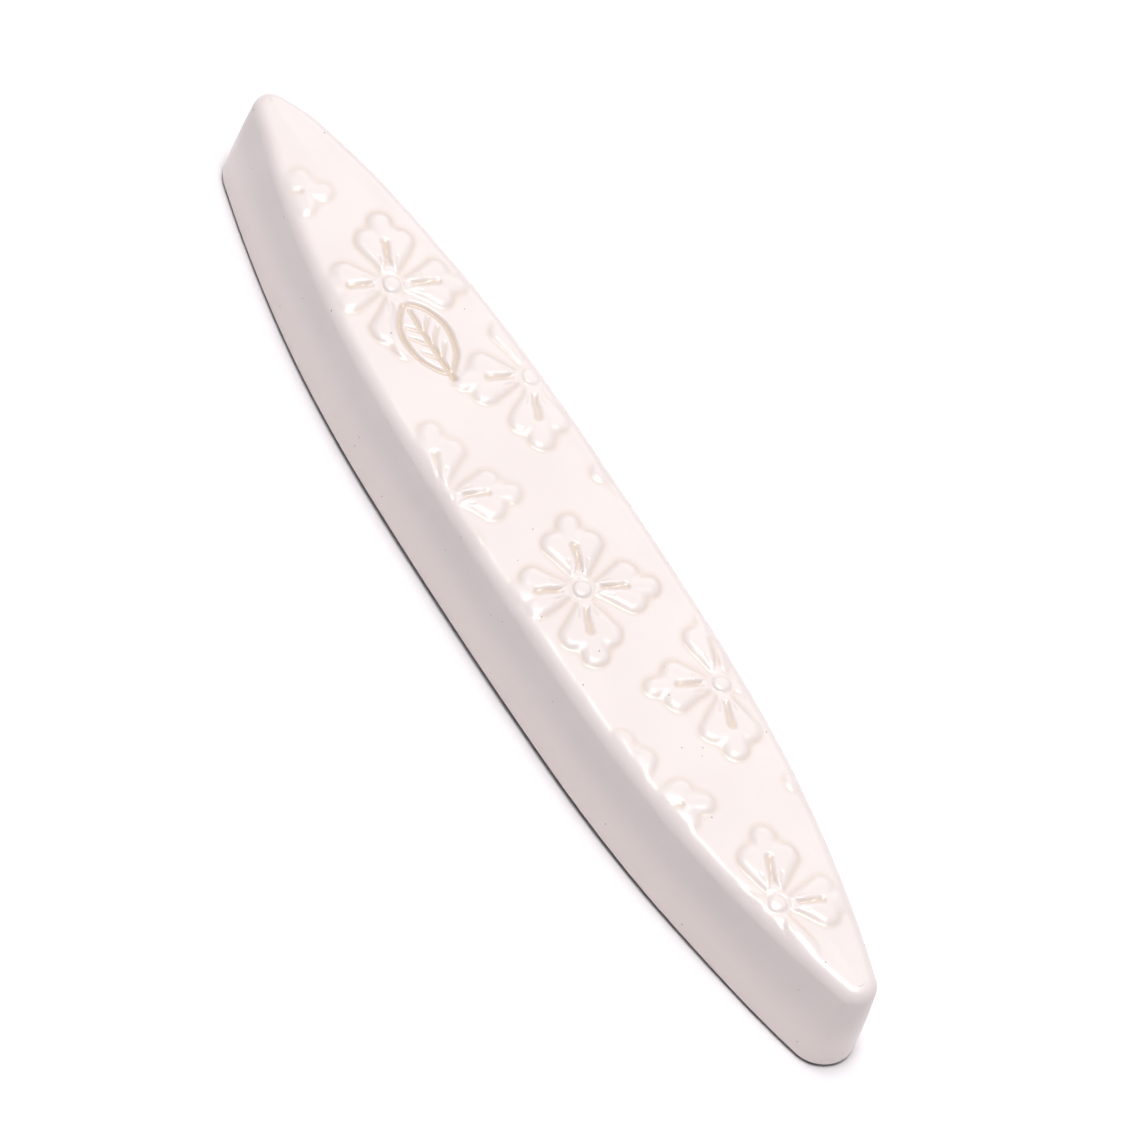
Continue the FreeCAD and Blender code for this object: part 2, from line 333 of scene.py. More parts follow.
def flower_relief(x, y):
    """Height of one flower at its own centre, and how deep the glaze pools in it."""
    pillow = np.zeros_like(x)
    edge = np.full_like(x, FAR)
    cuts = np.zeros_like(x)
    radius = np.hypot(x, y)
    star = radius - STAR_BODY
    for quarter in range(4):
        angle = FLOWER_TURN + quarter * math.pi / 2
        size = (TALL_PETAL if quarter % 2 == 0 else SIDE_PETAL) / PETAL_UNIT
        u = (x * math.cos(angle) + y * math.sin(angle)) / size
        v = (y * math.cos(angle) - x * math.sin(angle)) / size
        distance = petal_distance(u, v) * size
        edge = np.minimum(edge, distance)
        inside = np.clip((PETAL_FOOT - distance) / PETAL_SOFTNESS, 0.0, 1.0)
        pillow = np.maximum(pillow, 1.0 - (1.0 - inside**PETAL_START_POWER) ** PETAL_DOME_POWER)
        cuts = np.maximum(cuts, groove(capsule(u, v, *SLIT), SLIT_WALL))
        cuts = np.maximum(cuts, NICK_SHARE * groove(capsule(u, np.abs(v), *NICK), NICK_WALL))
        star = soft_min(star, capsule(u, v, *STAR_ARM), STAR_BLEND)
    plateau = groove(star, STAR_WALL)
    edge = np.minimum(edge, star)
    outline_cut = np.exp(-((edge - OUTLINE_OFFSET) / OUTLINE_WIDTH) ** 2) * (1.0 - plateau)
    ring = np.exp(-((radius - RING_RADIUS) / RING_WIDTH) ** 2)
    bead = np.sqrt(np.clip(1.0 - (radius / BEAD_RADIUS) ** 2, 0.0, 1.0))
    cuts = cuts * (1.0 - groove(radius - HUB_RADIUS, HUB_WALL))
    height = PETAL_PUFF * np.maximum(pillow * (1.0 - plateau), STAR_SHARE * plateau) + BEAD_RISE * bead
    height = height - OUTLINE_DEPTH * outline_cut - SLIT_DEPTH * cuts - RING_DEPTH * ring
    pool = OUTLINE_POOL * outline_cut + CUT_POOL * cuts + RING_POOL * ring * (1.0 - bead)
    return height, np.clip(pool, 0.0, 1.0)


def leaf_relief(x, y):
    """Depth of the stamped leaf's grooves, and how far the stamp has pressed the ground flat."""
    radius = (LEAF_HALF_LENGTH**2 + LEAF_HALF_WIDTH**2) / (2 * LEAF_HALF_WIDTH)
    body = np.hypot(np.abs(x) + radius - LEAF_HALF_WIDTH, y) - radius
    rim = np.where(np.abs(y) > LEAF_HALF_LENGTH, FAR, np.abs(body) - LEAF_LINE)
    cuts = np.maximum(groove(rim, LEAF_WALL), groove(capsule(y, x, *MIDRIB), LEAF_WALL))
    for base, reach in VEINS:
        end = (base + reach * VEIN_SLANT, reach)
        vein = capsule(y, np.abs(x), (base, VEIN_START), end, *VEIN_RADII)
        cuts = np.maximum(cuts, VEIN_SHARE * groove(vein, VEIN_WALL))
    return cuts, groove(body - PRESSED_MARGIN, PRESSED_WALL)


def beyond_front(x, y):
    """How far a point lies beyond the edge of the flat front; negative on the front."""
    edge, _ = outline(**FRONT_OUTLINE)
    half_width = np.interp(y, edge[:, 1], edge[:, 0]) - FRONT_ROUNDING
    return np.abs(x) - half_width


def relief(x, y):
    """Height of the whole decoration, and how deep the glaze pools, at points of the unrolled front."""
    ground = np.column_stack([x, y, np.zeros_like(x)])
    x = add_noise(x, ground, X_WANDER)
    y = add_noise(y, ground, Y_WANDER)
    height = np.zeros_like(x)
    pool = np.zeros_like(x)
    for down in STEPS_DOWN:
        for across in STEPS_ACROSS:
            centre = PATTERN_ORIGIN + down * PATTERN_DOWN + across * PATTERN_ACROSS
            near = np.hypot(x - centre[0], y - centre[1]) < FLOWER_REACH
            if not near.any():
                continue
            strength = 1.0 - EDGE_LOSS * smooth(*EDGE_RAMP, beyond_front(centre[0], centre[1]))
            strength *= 1.0 - TOP_LOSS * smooth(*TOP_RAMP, centre[1])
            rise, depth = flower_relief(x[near] - centre[0], y[near] - centre[1])
            height[near] += strength * rise
            pool[near] += strength * depth
    left = (1.0 - smooth(*UPPER_WEAR, y)) * (1.0 - smooth(*LOWER_WEAR, -y))
    cuts, pressed = leaf_relief(x - STAMP_CENTRE[0], y - STAMP_CENTRE[1])
    height = height * left * (1.0 - PRESSED_FLAT * pressed) - STAMP_DEPTH * cuts
    pool = np.maximum(pool * left * (1.0 - PRESSED_CLEAN * pressed), STAMP_POOL * cuts)
    return height, pool


# ---------------------------------------------------------------- the ceramic shell

RIM_LAND = 2.6
WALL = 4.0
CAVITY_DEPTH = 15.0
REBATE_DEPTH = PLATE_HIGH[2] - PLATE_LOW[2]
WALL_HEIGHT = HEIGHT - FRONT_ROUNDING
CEILING_CORNER = 0.5
CAVITY_MIDDLE = 8.0
REBATE_CORNER = 0.15
REBATE_BEVEL = 0.1
LAND_BEVEL = 0.15
CEILING_STEPS = 6
RIM_STEPS = 6
WALL_STEPS = 26
ROUNDING_STEPS = 22
FRONT_COLUMNS = 118

# The wall flares out at its foot and is hollowed at mid-height, both fading towards the tips.
FOOT_FLARE = 0.30
FLARE_HEIGHT = 6.0
WALL_BOW = 0.20
NEAR_TIP = (45.0, 76.0)

# The ends are uneven, as hand-cut ones are. A pinch is a share of the width; the others are in mm.
# Each ramp runs from where a change starts to where it is full, in mm from mid-length.
RIGHT_HAND = {"pinch": 0.22, "pinch_ramp": (77.0, 84.0), "swell": 0.5, "foot_pinch": 0.12}
LEFT_HAND = {"pinch": 0.06, "pinch_ramp": (72.0, 79.5), "swell": 0.0, "foot_pinch": 0.0}
SWELL_RISE = (50.0, 66.0)
SWELL_FALL = (76.0, 83.0)
FOOT_PINCH_RAMP = (74.0, 84.0)
FOOT_LEAN = 0.5
LEAN_RAMP = (55.0, 82.0)
FOOT_TRIM = 0.3
TRIM_RAMP = (70.0, 84.0)
FOOT_HANG = 0.4
HANG_RAMP = (20.0, 75.0)
HANG_HEIGHT = 7.0

# The front is sunk a little, and more so at its edge.
SINK = 0.14
CROWN = 0.16
CROWN_RAMP = (-5.0, 0.5)
CROWN_HEIGHTS = (0.5, 1.0)

# Waviness by hand: height, cell and seed of each layer of noise, and more of it along the front's edge.
WAVES = ((0.07, 17.0, 1), (0.035, 6.0, 2), (0.010, 2.4, 3))
EDGE_WAVES = ((0.08, 3.5, 6),)
EDGE_WAVE_WIDTH = 2.6
CAVITY_WAVES = ((0.05, 1.3, 4), (0.08, 5.0, 5))
CAVITY_WAVE_START = 0.3
FOOT_CALM = (0.0, 1.5)

# Where the decoration ends beyond the front, the glaze's lower edge, and the painted floor bounce light
# that lightens the lower wall, by height.
RELIEF_END = (-1.6, 2.0)
# Below the glaze's lower edge the unglazed foot is coloured dark, which also paints the shade of the gap
# under the rim.
GLAZE_START = (0.12, 0.34)
# Painted floor bounce light: the outer wall is lightened from this height down to the foot.
PAINTED_FLOOR_LIGHT_RAMP = (3.5, 13.0)
POOL_LIMIT = 1.2


def shell_profile():
    """Columns from the middle of the cavity out over the rim and up to the front's edge.

    Each row: height above the rim, inset from the outline or None on the cavity's ceiling, reach
    beyond the front's edge, share of the normal that points outwards, share of the ceiling's half
    width, and 1 on the outside or 0 on the inside.
    """
    rows = []
    for share in np.linspace(0.0, 1.0, CEILING_STEPS + 1)[:-1]:
        rows.append((CAVITY_DEPTH, None, FAR, 0.0, share, 0.0))
    for rise, inset in (
        (CAVITY_DEPTH, WALL),
        (CAVITY_DEPTH - CEILING_CORNER, WALL),
        (CAVITY_MIDDLE, WALL),
        (REBATE_DEPTH + REBATE_CORNER, WALL),
        (REBATE_DEPTH, WALL),
        (REBATE_DEPTH, RIM_LAND + REBATE_BEVEL),
        (REBATE_DEPTH - REBATE_BEVEL, RIM_LAND),
        (LAND_BEVEL, RIM_LAND),
        (0.0, RIM_LAND - LAND_BEVEL),
        (0.0, (RIM_LAND + RIM_ROUNDING) / 2),
    ):
        rows.append((rise, inset, FAR, 0.0, 1.0, 0.0))
    for turn in np.linspace(0.0, math.pi / 2, RIM_STEPS + 1):
        inset = RIM_ROUNDING * (1.0 - math.sin(turn))
        rows.append((RIM_ROUNDING * (1.0 - math.cos(turn)), inset, FAR, math.sin(turn), 1.0, 1.0))
    for share in np.linspace(0.0, 1.0, WALL_STEPS + 1)[1:]:
        rise = RIM_ROUNDING + (WALL_HEIGHT - RIM_ROUNDING) * share
        reach = FRONT_ROUNDING * math.pi / 2 + WALL_HEIGHT - rise
        rows.append((rise, 0.0, reach, 1.0, 1.0, 1.0))
    for turn in np.linspace(0.0, math.pi / 2, ROUNDING_STEPS + 1)[1:]:
        inset = FRONT_ROUNDING * (1.0 - math.cos(turn))
        rise = WALL_HEIGHT + FRONT_ROUNDING * math.sin(turn)
        reach = FRONT_ROUNDING * (math.pi / 2 - turn)
        rows.append((rise, inset, reach, math.cos(turn), 1.0, 1.0))
    return rows


def half_shell(side):
    """One side of the shell, as a grid of points with normals and unrolled positions."""
    rim, rim_normal = outline(**RIM_OUTLINE)
    front, front_normal = outline(**FRONT_OUTLINE)
    hand = RIGHT_HAND if side > 0 else LEFT_HAND
    inner_edge = front - FRONT_ROUNDING * front_normal
    away_from_tip = 1.0 - smooth(*NEAR_TIP, np.abs(rim[:, 1]))
    rows = shell_profile()
    shape = (len(rim), len(rows))
    points = np.zeros((*shape, 3))
    normals = np.zeros((*shape, 3))
    flat = np.zeros((*shape, 2))
    outer = np.zeros(shape)
    glazed = np.zeros(shape)
    for column, (rise, inset, reach, outward, width, is_outer) in enumerate(rows):
        climb = min(rise / WALL_HEIGHT, 1.0)
        level = is_outer * climb * (1.0 + (1.0 - climb) * away_from_tip)
        edge = rim * (1.0 - level)[:, None] + front * level[:, None]
        normal = rim_normal * (1.0 - level)[:, None] + front_normal * level[:, None]
        normal /= np.linalg.norm(normal, axis=1)[:, None]
        if inset is None:
            plan = (rim - WALL * rim_normal) * [width, 1.0]
        else:
            flare = FOOT_FLARE * (1.0 - smooth(0.0, FLARE_HEIGHT, rise))
            flare = flare - WALL_BOW * 4.0 * climb * (1.0 - climb)
            plan = edge - (inset - is_outer * flare * away_from_tip)[:, None] * normal
        along = plan[:, 1]
        foot = is_outer * (1.0 - level)
        swell = smooth(*SWELL_RISE, along) * (1.0 - smooth(*SWELL_FALL, along))
        pinch = 1.0 - hand["pinch"] * level * smooth(*hand["pinch_ramp"], along)
        pinch *= 1.0 - foot * hand["foot_pinch"] * smooth(*FOOT_PINCH_RAMP, -along)
        lean = foot * FOOT_LEAN * smooth(*LEAN_RAMP, -along)
        trim = foot * FOOT_TRIM * smooth(*TRIM_RAMP, np.abs(along)) * np.sign(along)
        points[:, column, 0] = plan[:, 0] * pinch + hand["swell"] * level * swell - side * lean
        points[:, column, 1] = along - trim
        points[:, column, 2] = RIM_Z + rise
        normals[:, column, :2] = normal * outward
        normals[:, column, 2] = math.sqrt(max(0.0, 1.0 - outward**2))
        flat[:, column] = inner_edge + normal * reach
        outer[:, column] = is_outer
        glazed[:, column] = is_outer * smooth(*GLAZE_START, rise)
    for grid in (points, normals, flat):
        grid[..., 0] *= side
    return points, normals, flat, outer, glazed, np.array([row[2] for row in rows])


def shell_grid():
    """The whole closed surface as one grid: right side, front, left side reversed."""
    right, right_n, right_flat, outer, glazed, reach = half_shell(1.0)
    left, left_n, left_flat, _, _, _ = half_shell(-1.0)
    share = np.linspace(0.0, 1.0, FRONT_COLUMNS + 1)[1:-1]
    start, end = right[:, -1], left[:, -1]
    middle = start[:, None] * (1.0 - share[None, :, None]) + end[:, None] * share[None, :, None]
    middle_n = np.zeros_like(middle)
    middle_n[..., 2] = 1.0
    middle_outer = np.ones(middle.shape[:2])
    points = np.concatenate([right, middle, left[:, ::-1]], axis=1)
    normals = np.concatenate([right_n, middle_n, left_n[:, ::-1]], axis=1)
    flat = np.concatenate([right_flat, middle[..., :2], left_flat[:, ::-1]], axis=1)
    outside = np.concatenate([outer, middle_outer, outer[:, ::-1]], axis=1)
    glaze = np.concatenate([glazed, middle_outer, glazed[:, ::-1]], axis=1)
    sides = np.tile(reach, (len(points), 1))
    inner = beyond_front(middle[..., 0], middle[..., 1])
    beyond = np.concatenate([sides, inner, sides[:, ::-1]], axis=1)
    return points, normals, flat, outside, glaze, beyond


def foot_drop(p):
    """The hand-cut foot: it hangs a little lower at both ends than at mid-length."""
    low = 1.0 - smooth(0.0, HANG_HEIGHT, p[:, 2] - RIM_Z)
    return low * FOOT_HANG * smooth(*HANG_RAMP, np.abs(p[:, 1]))


def make_shell():
    """The ceramic: outline, soft edges, pressed decoration, and the slight waviness of hand work."""
    points, normals, flat, outside, glaze, beyond = shell_grid()
    p, n = points.reshape(-1, 3), normals.reshape(-1, 3)
    f, out, reach = flat.reshape(-1, 2), outside.reshape(-1), beyond.reshape(-1)
    rise = p[:, 2] - RIM_Z
    height, pool = relief(f[:, 0], f[:, 1])
    fade = (1.0 - smooth(*RELIEF_END, reach)) * out
    near_edge = np.exp(-((reach / EDGE_WAVE_WIDTH) ** 2))
    wave = add_noise(0.0, p, WAVES) + add_noise(0.0, p, EDGE_WAVES) * near_edge
    crown = (CROWN * smooth(*CROWN_RAMP, reach) + SINK) * smooth(*CROWN_HEIGHTS, rise / HEIGHT)
    lift = height * fade + (wave - crown) * out * smooth(*FOOT_CALM, rise)
    in_cavity = (1.0 - out) * (rise > REBATE_DEPTH + CAVITY_WAVE_START)
    lift = lift + add_noise(0.0, p, CAVITY_WAVES) * in_cavity
    moved = p + n * lift[:, None]
    moved[:, 2] -= foot_drop(moved)
    shell = grid_object("ceramic_case", moved.reshape(points.shape), wrap=True)
    set_attribute(shell, "pool", np.clip(pool * fade, 0.0, POOL_LIMIT))
    # Unglazed clay, whose dark colour also paints the shade of the gap under the rim.
    set_attribute(shell, "bare_and_gap_shade", 1.0 - glaze.reshape(-1))
    # Painted floor bounce light, strongest at the foot of the outer wall.
    set_attribute(shell, "painted_floor_light", out * (1.0 - smooth(*PAINTED_FLOOR_LIGHT_RAMP, rise)))
    weld(shell)
    return place(shell, "case", "case_shell")


# ---------------------------------------------------------------- back plate, foam tape and liners

PLATE_INSET = 2.95
PLATE_CHAMFER = 0.25
CHAMFER_KNEE_RISE = 0.4
CHAMFER_KNEE_INSET = 0.25
CAP_COLUMNS = 9
PAD_LOW, PAD_HIGH = box_mm("tape_pad_upper")
PAD_CORNER = 0.6
PAD_RINGS = (0.06, 0.25, 0.5, 0.75, 0.94)
PAD_RING_SPACING = 3.0
PAD_WAIST = 0.10
FOAM_CELL = 0.7
FOAM_CELL_DEPTH = 0.05
FOAM_SEED = 11
LINER_LOW, LINER_HIGH = box_mm("release_liner_upper")
LINER_CORNER = 0.8
TAB_START = 0.6
TAB_LIFT = 0.20
TAB_RIPPLE = 0.05
TAB_RIPPLE_CELL = 4.0
LINER_SEED = 21


def make_back_plate():
    """A thin pointed-oval board with chamfered edges, dead flat under the tape."""
    edge, normal = outline(**RIM_OUTLINE)
    thickness = PLATE_HIGH[2] - PLATE_LOW[2]
    knee_rise, knee_inset = PLATE_CHAMFER * CHAMFER_KNEE_RISE, PLATE_CHAMFER * CHAMFER_KNEE_INSET
    border = []
    for height, inset in (
        (0.0, PLATE_CHAMFER),
        (knee_rise, knee_inset),
        (PLATE_CHAMFER, 0.0),
        (thickness - PLATE_CHAMFER, 0.0),
        (thickness - knee_rise, knee_inset),
        (thickness, PLATE_CHAMFER),
    ):
        plan = edge - (PLATE_INSET + inset) * normal
        border.append(np.column_stack([plan, np.full(len(plan), PLATE_LOW[2] + height)]))
    shares = np.linspace(0.0, 1.0, CAP_COLUMNS)[:-1]
    low = [border[0] * [share, 1.0, 1.0] for share in shares]
    high = [border[-1] * [share, 1.0, 1.0] for share in shares[::-1]]
    right = low + border + high
    rubbed = [0.0] * len(low) + [1.0] * len(border) + [0.0] * len(high)
    left = [column * [-1.0, 1.0, 1.0] for column in right[::-1]][1:-1]
    board = grid_object("backing_board", np.stack(right + left, axis=1), wrap=True)
    set_attribute(board, "edge", np.tile(rubbed + rubbed[::-1][1:-1], len(edge)))
    weld(board)
    return place(board, "backing", "back_plate")


def rounded_plan(width, length, radius, columns, rows):
    """A grid of plan points over a rectangle with round corners, its index, and its border's loop."""
    across = np.linspace(-width / 2, width / 2, columns)
    x, y = np.meshgrid(across, np.linspace(-length / 2, length / 2, rows))
    over_x = np.maximum(np.abs(x) - (width / 2 - radius), 0.0)
    over_y = np.maximum(np.abs(y) - (length / 2 - radius), 0.0)
    far = np.hypot(over_x, over_y)
    shrink = np.where(far > 0.0, np.maximum(over_x, over_y) / np.maximum(far, 1e-9), 1.0)
    x = np.sign(x) * (np.abs(x) - over_x * (1.0 - shrink))
    y = np.sign(y) * (np.abs(y) - over_y * (1.0 - shrink))
    index = np.arange(rows * columns).reshape(rows, columns)
    loop = np.concatenate([index[0, :-1], index[:-1, -1], index[-1, :0:-1], index[:0:-1, 0]])
    return np.stack([x.ravel(), y.ravel()], axis=1), index, loop


def slab_object(name, sheet, low, high, rings, middle):
    """A thin closed slab: lower and upper face over one rounded plan, joined by side rings.

    low and high give the height at each plan point, rings are (share of the height, inset), and
    middle is where the slab's middle ends up along Y.
    """
    plan, index, loop = sheet
    count = len(plan)
    points = [np.column_stack([plan, low])]
    inward = -plan[loop] / np.linalg.norm(plan[loop], axis=1)[:, None]
    loops = [loop]
    for share, inset in rings:
        height = low[loop] * (1.0 - share) + high[loop] * share
        points.append(np.column_stack([plan[loop] + inward * np.asarray(inset).reshape(-1, 1), height]))
        loops.append(np.arange(len(loop)) + count)
        count += len(loop)
    points.append(np.column_stack([plan, high]))
    loops.append(loop + count)
    faces = grid_faces(index[:, ::-1]) + grid_faces(index + count)
    faces += grid_faces(np.stack(loops, axis=0), wrap=True)
    slab = mesh_object(name, np.concatenate(points), faces)
    weld(slab)
    slab.data.transform(Matrix.Translation((0.0, middle * MM, 0.0)))
    return slab


def make_pad(end, side):
    """One foam tape pad: cut sides that pull in a little at mid-height, with open cells."""
    width, length = (PAD_HIGH - PAD_LOW)[:2]
    middle = side * (PAD_LOW + PAD_HIGH)[1] / 2
    sheet = rounded_plan(width, length, PAD_CORNER, columns=25, rows=49)
    plan, _, loop = sheet
    rings = []
    for share in PAD_RINGS:
        at = np.column_stack([plan[loop] + [0.0, middle], np.full(len(loop), share * PAD_RING_SPACING)])
        cells = FOAM_CELL_DEPTH * (1.0 + value_noise(at, FOAM_CELL, FOAM_SEED + int(side)))
        rings.append((share, cells + PAD_WAIST * math.sin(math.pi * share)))
    low, high = np.full(len(plan), PAD_LOW[2]), np.full(len(plan), PAD_HIGH[2])
    pad = slab_object(f"foam_pad_{end}", sheet, low, high, rings, middle)
    return place(pad, "backing", f"tape_pad_{end}")


def make_liner(end, side):
    """The waxed paper under one pad; its free tab curls off the floor a little."""
    width, length = (LINER_HIGH - LINER_LOW)[:2]
    middle = side * (LINER_LOW + LINER_HIGH)[1] / 2
    sheet = rounded_plan(width, length, LINER_CORNER, columns=21, rows=59)
    plan = sheet[0]
    free = smooth(PAD_HIGH[1] + TAB_START, LINER_HIGH[1], np.abs(plan[:, 1] + middle))
    at = np.column_stack([plan, np.zeros(len(plan))])
    lift = free * (TAB_LIFT + TAB_RIPPLE * value_noise(at, TAB_RIPPLE_CELL, LINER_SEED + int(side)))
    low, high = lift + LINER_LOW[2], lift + LINER_HIGH[2]
    liner = slab_object(f"release_paper_{end}", sheet, low, high, [(0.5, 0.0)], middle)
    return place(liner, f"{end}_liner", f"release_liner_{end}")


# ---------------------------------------------------------------- the scroll in its film and band

ROLL_LOW, ROLL_HIGH = box_mm("parchment_scroll")
FILM_LOW, FILM_HIGH = box_mm("film_wrap")
BAND_LOW, BAND_HIGH = box_mm("closing_band")
AXIS_Z = (FILM_LOW[2] + FILM_HIGH[2]) / 2
ROLL_RADIUS = (ROLL_HIGH[0] - ROLL_LOW[0]) / 2
FILM_RADIUS = (FILM_HIGH[0] - FILM_LOW[0]) / 2
BAND_RADIUS = (BAND_HIGH[0] - BAND_LOW[0]) / 2

ROLL_TURNS = 4.5
ROLL_PITCH = 0.42
ROLL_THICKNESS = 0.28
ROLL_MARGIN = 0.05
ROLL_START = math.radians(70.0)
ROLL_ROWS = 45
STEPS_PER_TURN = 64
END_MARGIN = 0.3
END_LEAN = 0.35
END_STEP = 0.12
END_STEP_CELL = 1.1
END_STEPS_PER_TURN = 3.0
WOBBLE = 0.035
WOBBLES_PER_TURN = 4.0
WOBBLE_LENGTH = 6.0
END_SEED = 31
WOBBLE_SEED = 32

FILM_ROWS = 121
FILM_COLUMNS = 160
FILM_MARGIN = 0.05
FILM_THICKNESS = 0.05
CRINKLE = 0.018
CRINKLE_RADIUS = 4.6
CRINKLE_STRETCH = 2.5
CRINKLE_CELL = 1.3
CRINKLE_SEED = 41
FILM_LAP = 0.03
LAP_START = (2.2, 2.24)
LAP_END = (3.0, 3.04)
TAIL_START = 0.2
TAIL_PINCH = 0.3
PLEATS = 13.0
PLEAT_DEPTH = 0.22
PLEAT_TURN = 1.1
PLEAT_GROUPS = 3.0
PLEAT_MEAN = 0.6
PLEAT_SWING = 0.4

BAND_START = math.radians(115.0)
BAND_OVERLAP = 0.9
BAND_THICKNESS = 0.11
BAND_MARGIN = 0.005
BAND_STEP = 0.115
BAND_STEP_RAMP = 0.5
BAND_END_LIFT = 0.012
BAND_END_RAMP = 0.2
BAND_COLUMNS = 130
BAND_ROWS = 25
BAND_SLANT = 0.10
BAND_SLANT_RATE = 0.8
BAND_SIDE_MARGIN = 0.1
BAND_EDGE_LIFT = 0.015
BAND_EDGE_POWER = 6
BAND_EDGE_WAVES = 5.0


def around(angle, radius, along):
    """Points about the scroll's axis."""
    return np.stack([radius * np.cos(angle), along, AXIS_Z + radius * np.sin(angle)], axis=-1)


def sheet_roll(name, angle, outer, inner, along):
    """A closed rolled sheet: angle and radii by column, place along the axis by row and column."""
    loop_angle = np.concatenate([angle, angle[::-1]])
    radius = np.concatenate([outer, inner[:, ::-1]], axis=1)
    place_along = np.concatenate([along, along[:, ::-1]], axis=1)
    points = around(loop_angle[None, :], radius, place_along)
    faces = grid_faces(np.arange(radius.size).reshape(radius.shape), wrap=True)
    count = len(angle)
    index = np.arange(radius.size).reshape(radius.shape)
    for row, turned in ((index[0], False), (index[-1], True)):
        rim = np.stack([row[:count], row[:count - 1:-1]], axis=1)
        faces += grid_faces(rim[:, ::-1] if turned else rim)
    roll = mesh_object(name, points.reshape(-1, 3), faces)
    weld(roll)
    return roll


def make_parchment():
    """The rolled skin: an open spiral whose turns stand slightly uneven at both ends."""
    steps = int(ROLL_TURNS * STEPS_PER_TURN)
    turned = np.linspace(0.0, ROLL_TURNS, steps + 1)
    angle = ROLL_START - np.linspace(0.0, ROLL_TURNS * 2 * math.pi, steps + 1)
    zeros = np.zeros(steps + 1)
    at = np.column_stack([turned * END_STEPS_PER_TURN, zeros, zeros])
    uneven = END_LEAN * (turned / ROLL_TURNS - 0.5) + END_STEP * value_noise(at, END_STEP_CELL, END_SEED)
    shares = np.linspace(-1.0, 1.0, ROLL_ROWS)
    along = shares[:, None] * (ROLL_HIGH[1] - END_MARGIN) + uneven[None, :]
    place_on_sheet = (turned[None, :] * WOBBLES_PER_TURN, along / WOBBLE_LENGTH, zeros[None, :])
    at = np.stack(np.broadcast_arrays(*place_on_sheet), axis=-1).reshape(-1, 3)
    wobble = WOBBLE * value_noise(at, 1.0, WOBBLE_SEED).reshape(along.shape)
    outer = ROLL_RADIUS - ROLL_MARGIN - ROLL_PITCH * turned[None, :] + wobble
    roll = sheet_roll("parchment_roll", angle, outer, outer - ROLL_THICKNESS, along)
    return place(roll, "scroll", "parchment_scroll")


def make_film():
    """Clear film round the roll: lapped along one side, crinkled, and pinched in past both ends."""
    angle = np.linspace(0.0, 2 * math.pi, FILM_COLUMNS + 1)[:-1]
    shares = np.linspace(-1.0, 1.0, FILM_ROWS)
    along = np.broadcast_to(shares[:, None] * FILM_HIGH[1], (FILM_ROWS, FILM_COLUMNS))
    round_roll = (CRINKLE_RADIUS * np.cos(angle), along / CRINKLE_STRETCH, CRINKLE_RADIUS * np.sin(angle))
    at = np.stack(np.broadcast_arrays(*round_roll), axis=-1).reshape(-1, 3)
    crinkle = value_noise(at, CRINKLE_CELL, CRINKLE_SEED).reshape(along.shape)
    lap = smooth(*LAP_START, angle) * (1.0 - smooth(*LAP_END, angle))
    tail = smooth(ROLL_HIGH[1] + TAIL_START, FILM_HIGH[1], np.abs(along))
    pleats = np.cos(PLEATS * angle + PLEAT_TURN * np.sign(along))
    pleats = pleats * (PLEAT_MEAN + PLEAT_SWING * np.cos(PLEAT_GROUPS * angle))
    outer = FILM_RADIUS - FILM_MARGIN + CRINKLE * crinkle + FILM_LAP * lap
    outer = outer * (1.0 - TAIL_PINCH * tail**2) + PLEAT_DEPTH * tail * pleats
    outside = around(angle, outer, along)
    inside = around(angle, outer - FILM_THICKNESS, along)
    points = np.concatenate([outside, inside[::-1]], axis=0)
    film = grid_object("film_tube", points, wrap=True, close_rows=True)
    weld(film)
    return place(film, "scroll", "film_wrap")


def make_band():
    """A paper strip round the middle, its outer end lapped over and stuck down."""
    turn = 2 * math.pi
    end = turn + BAND_OVERLAP
    angle = np.linspace(0.0, end, BAND_COLUMNS)
    shares = np.linspace(-1.0, 1.0, BAND_ROWS)
    step_up = BAND_STEP * smooth(turn - BAND_STEP_RAMP, turn, angle)
    step_up = step_up + BAND_END_LIFT * smooth(end - BAND_END_RAMP, end, angle)
    slant = BAND_SLANT * np.sin(angle * BAND_SLANT_RATE)
    along = shares[:, None] * (BAND_HIGH[1] - BAND_SIDE_MARGIN) + slant[None, :]
    edge_lift = BAND_EDGE_LIFT * np.abs(shares[:, None]) ** BAND_EDGE_POWER
    edge_lift = edge_lift * (1.0 + np.sin(BAND_EDGE_WAVES * angle))
    outer = BAND_RADIUS - BAND_MARGIN + step_up[None, :] + edge_lift
    band = sheet_roll("paper_strip", angle + BAND_START, outer, outer - BAND_THICKNESS, along)
    return place(band, "scroll", "closing_band")


# ---------------------------------------------------------------- materials

WHITE = (1, 1, 1)
BLACK = (0, 0, 0)
GLAZE_DULL = (0.756, 0.685, 0.670)
GLAZE_BRIGHT = (0.784, 0.713, 0.696)
# Body colour lightened by painted floor bounce light on the lower wall.
GLAZE_PAINTED_FLOOR_LIGHT = (0.885, 0.795, 0.765)
GLAZE_POOLED = (0.63, 0.515, 0.42)
PINHOLE_BROWN = (0.26, 0.20, 0.18)
